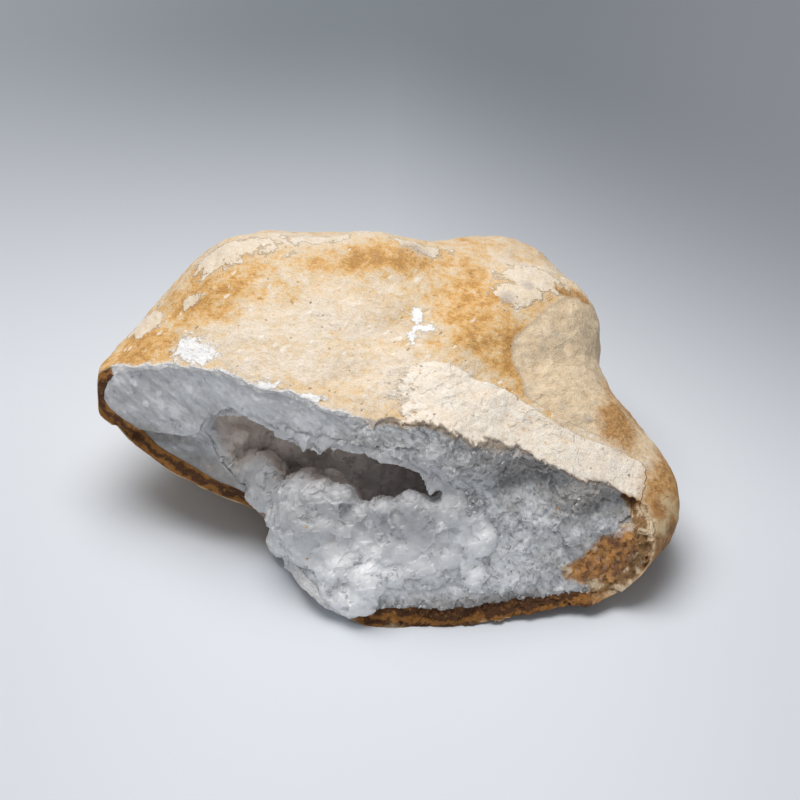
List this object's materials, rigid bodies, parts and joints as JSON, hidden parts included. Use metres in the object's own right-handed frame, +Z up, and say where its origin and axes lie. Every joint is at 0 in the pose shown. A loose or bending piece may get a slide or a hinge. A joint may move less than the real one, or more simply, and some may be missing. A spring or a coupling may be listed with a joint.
{
  "type": "calcite geode",
  "caption": "Broken natural geode resting on its flat underside: a tan limestone rind, a thick band of white calcite, and a hollow lined with lumps of calcite crystal.",
  "frame": {"origin": "middle of the stone's box, on the surface that it rests on", "axes": "+X along the stone's length, to the right when its broken face is seen; -Y towards the broken face; +Z up"},
  "size_m": [0.2109, 0.1481, 0.0924],
  "materials": {
    "limestone": "rough weathered limestone, cream and ochre with rust stains",
    "massive_calcite": "white granular calcite, broken, slightly translucent",
    "calcite_crystal": "milky translucent crystals with glinting faces"
  },
  "bodies": {
    "root": {"limestone_rind": "limestone", "calcite_wall": "massive_calcite", "crystal_crust": "calcite_crystal"}
  },
  "joints": []
}
